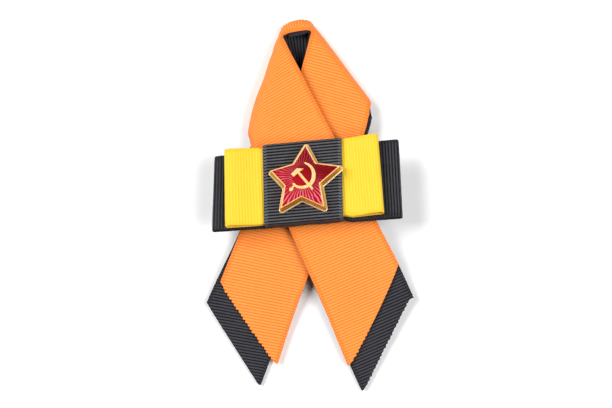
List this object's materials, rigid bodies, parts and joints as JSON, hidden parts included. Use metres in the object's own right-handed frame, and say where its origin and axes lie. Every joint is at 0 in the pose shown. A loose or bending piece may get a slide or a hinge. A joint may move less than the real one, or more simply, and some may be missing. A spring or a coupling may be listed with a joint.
{
  "type": "ribbon brooch",
  "caption": "Ribbon brooch: a lined ribbon loop with crossed tails, a layered bow held by a wrapped band, an enamelled metal star and a bar pin behind.",
  "frame": {"origin": "on the surface that the brooch lies on, under the middle of its outline", "axes": "+X to the right seen from the front, +Y towards the top of the loop, +Z out of the front, away from the pin"},
  "size_m": [0.066, 0.123, 0.0184],
  "materials": {
    "orange_ribbon": "ribbed grosgrain with a fine twill edge",
    "black_ribbon": "ribbed grosgrain with a fine twill edge",
    "yellow_ribbon": "ribbed grosgrain with a fine twill edge",
    "gilt_metal": "polished gilt",
    "red_enamel": "glossy translucent enamel over engraved rays",
    "pin_steel": "satin nickel"
  },
  "bodies": {
    "root": {"loop_ribbon_orange": "orange_ribbon", "loop_ribbon_black": "black_ribbon", "bow_black": "black_ribbon", "bow_yellow": "yellow_ribbon", "centre_band": "black_ribbon", "star_frame": "gilt_metal", "star_enamel": "red_enamel", "brooch_pin": "pin_steel"}
  },
  "joints": []
}
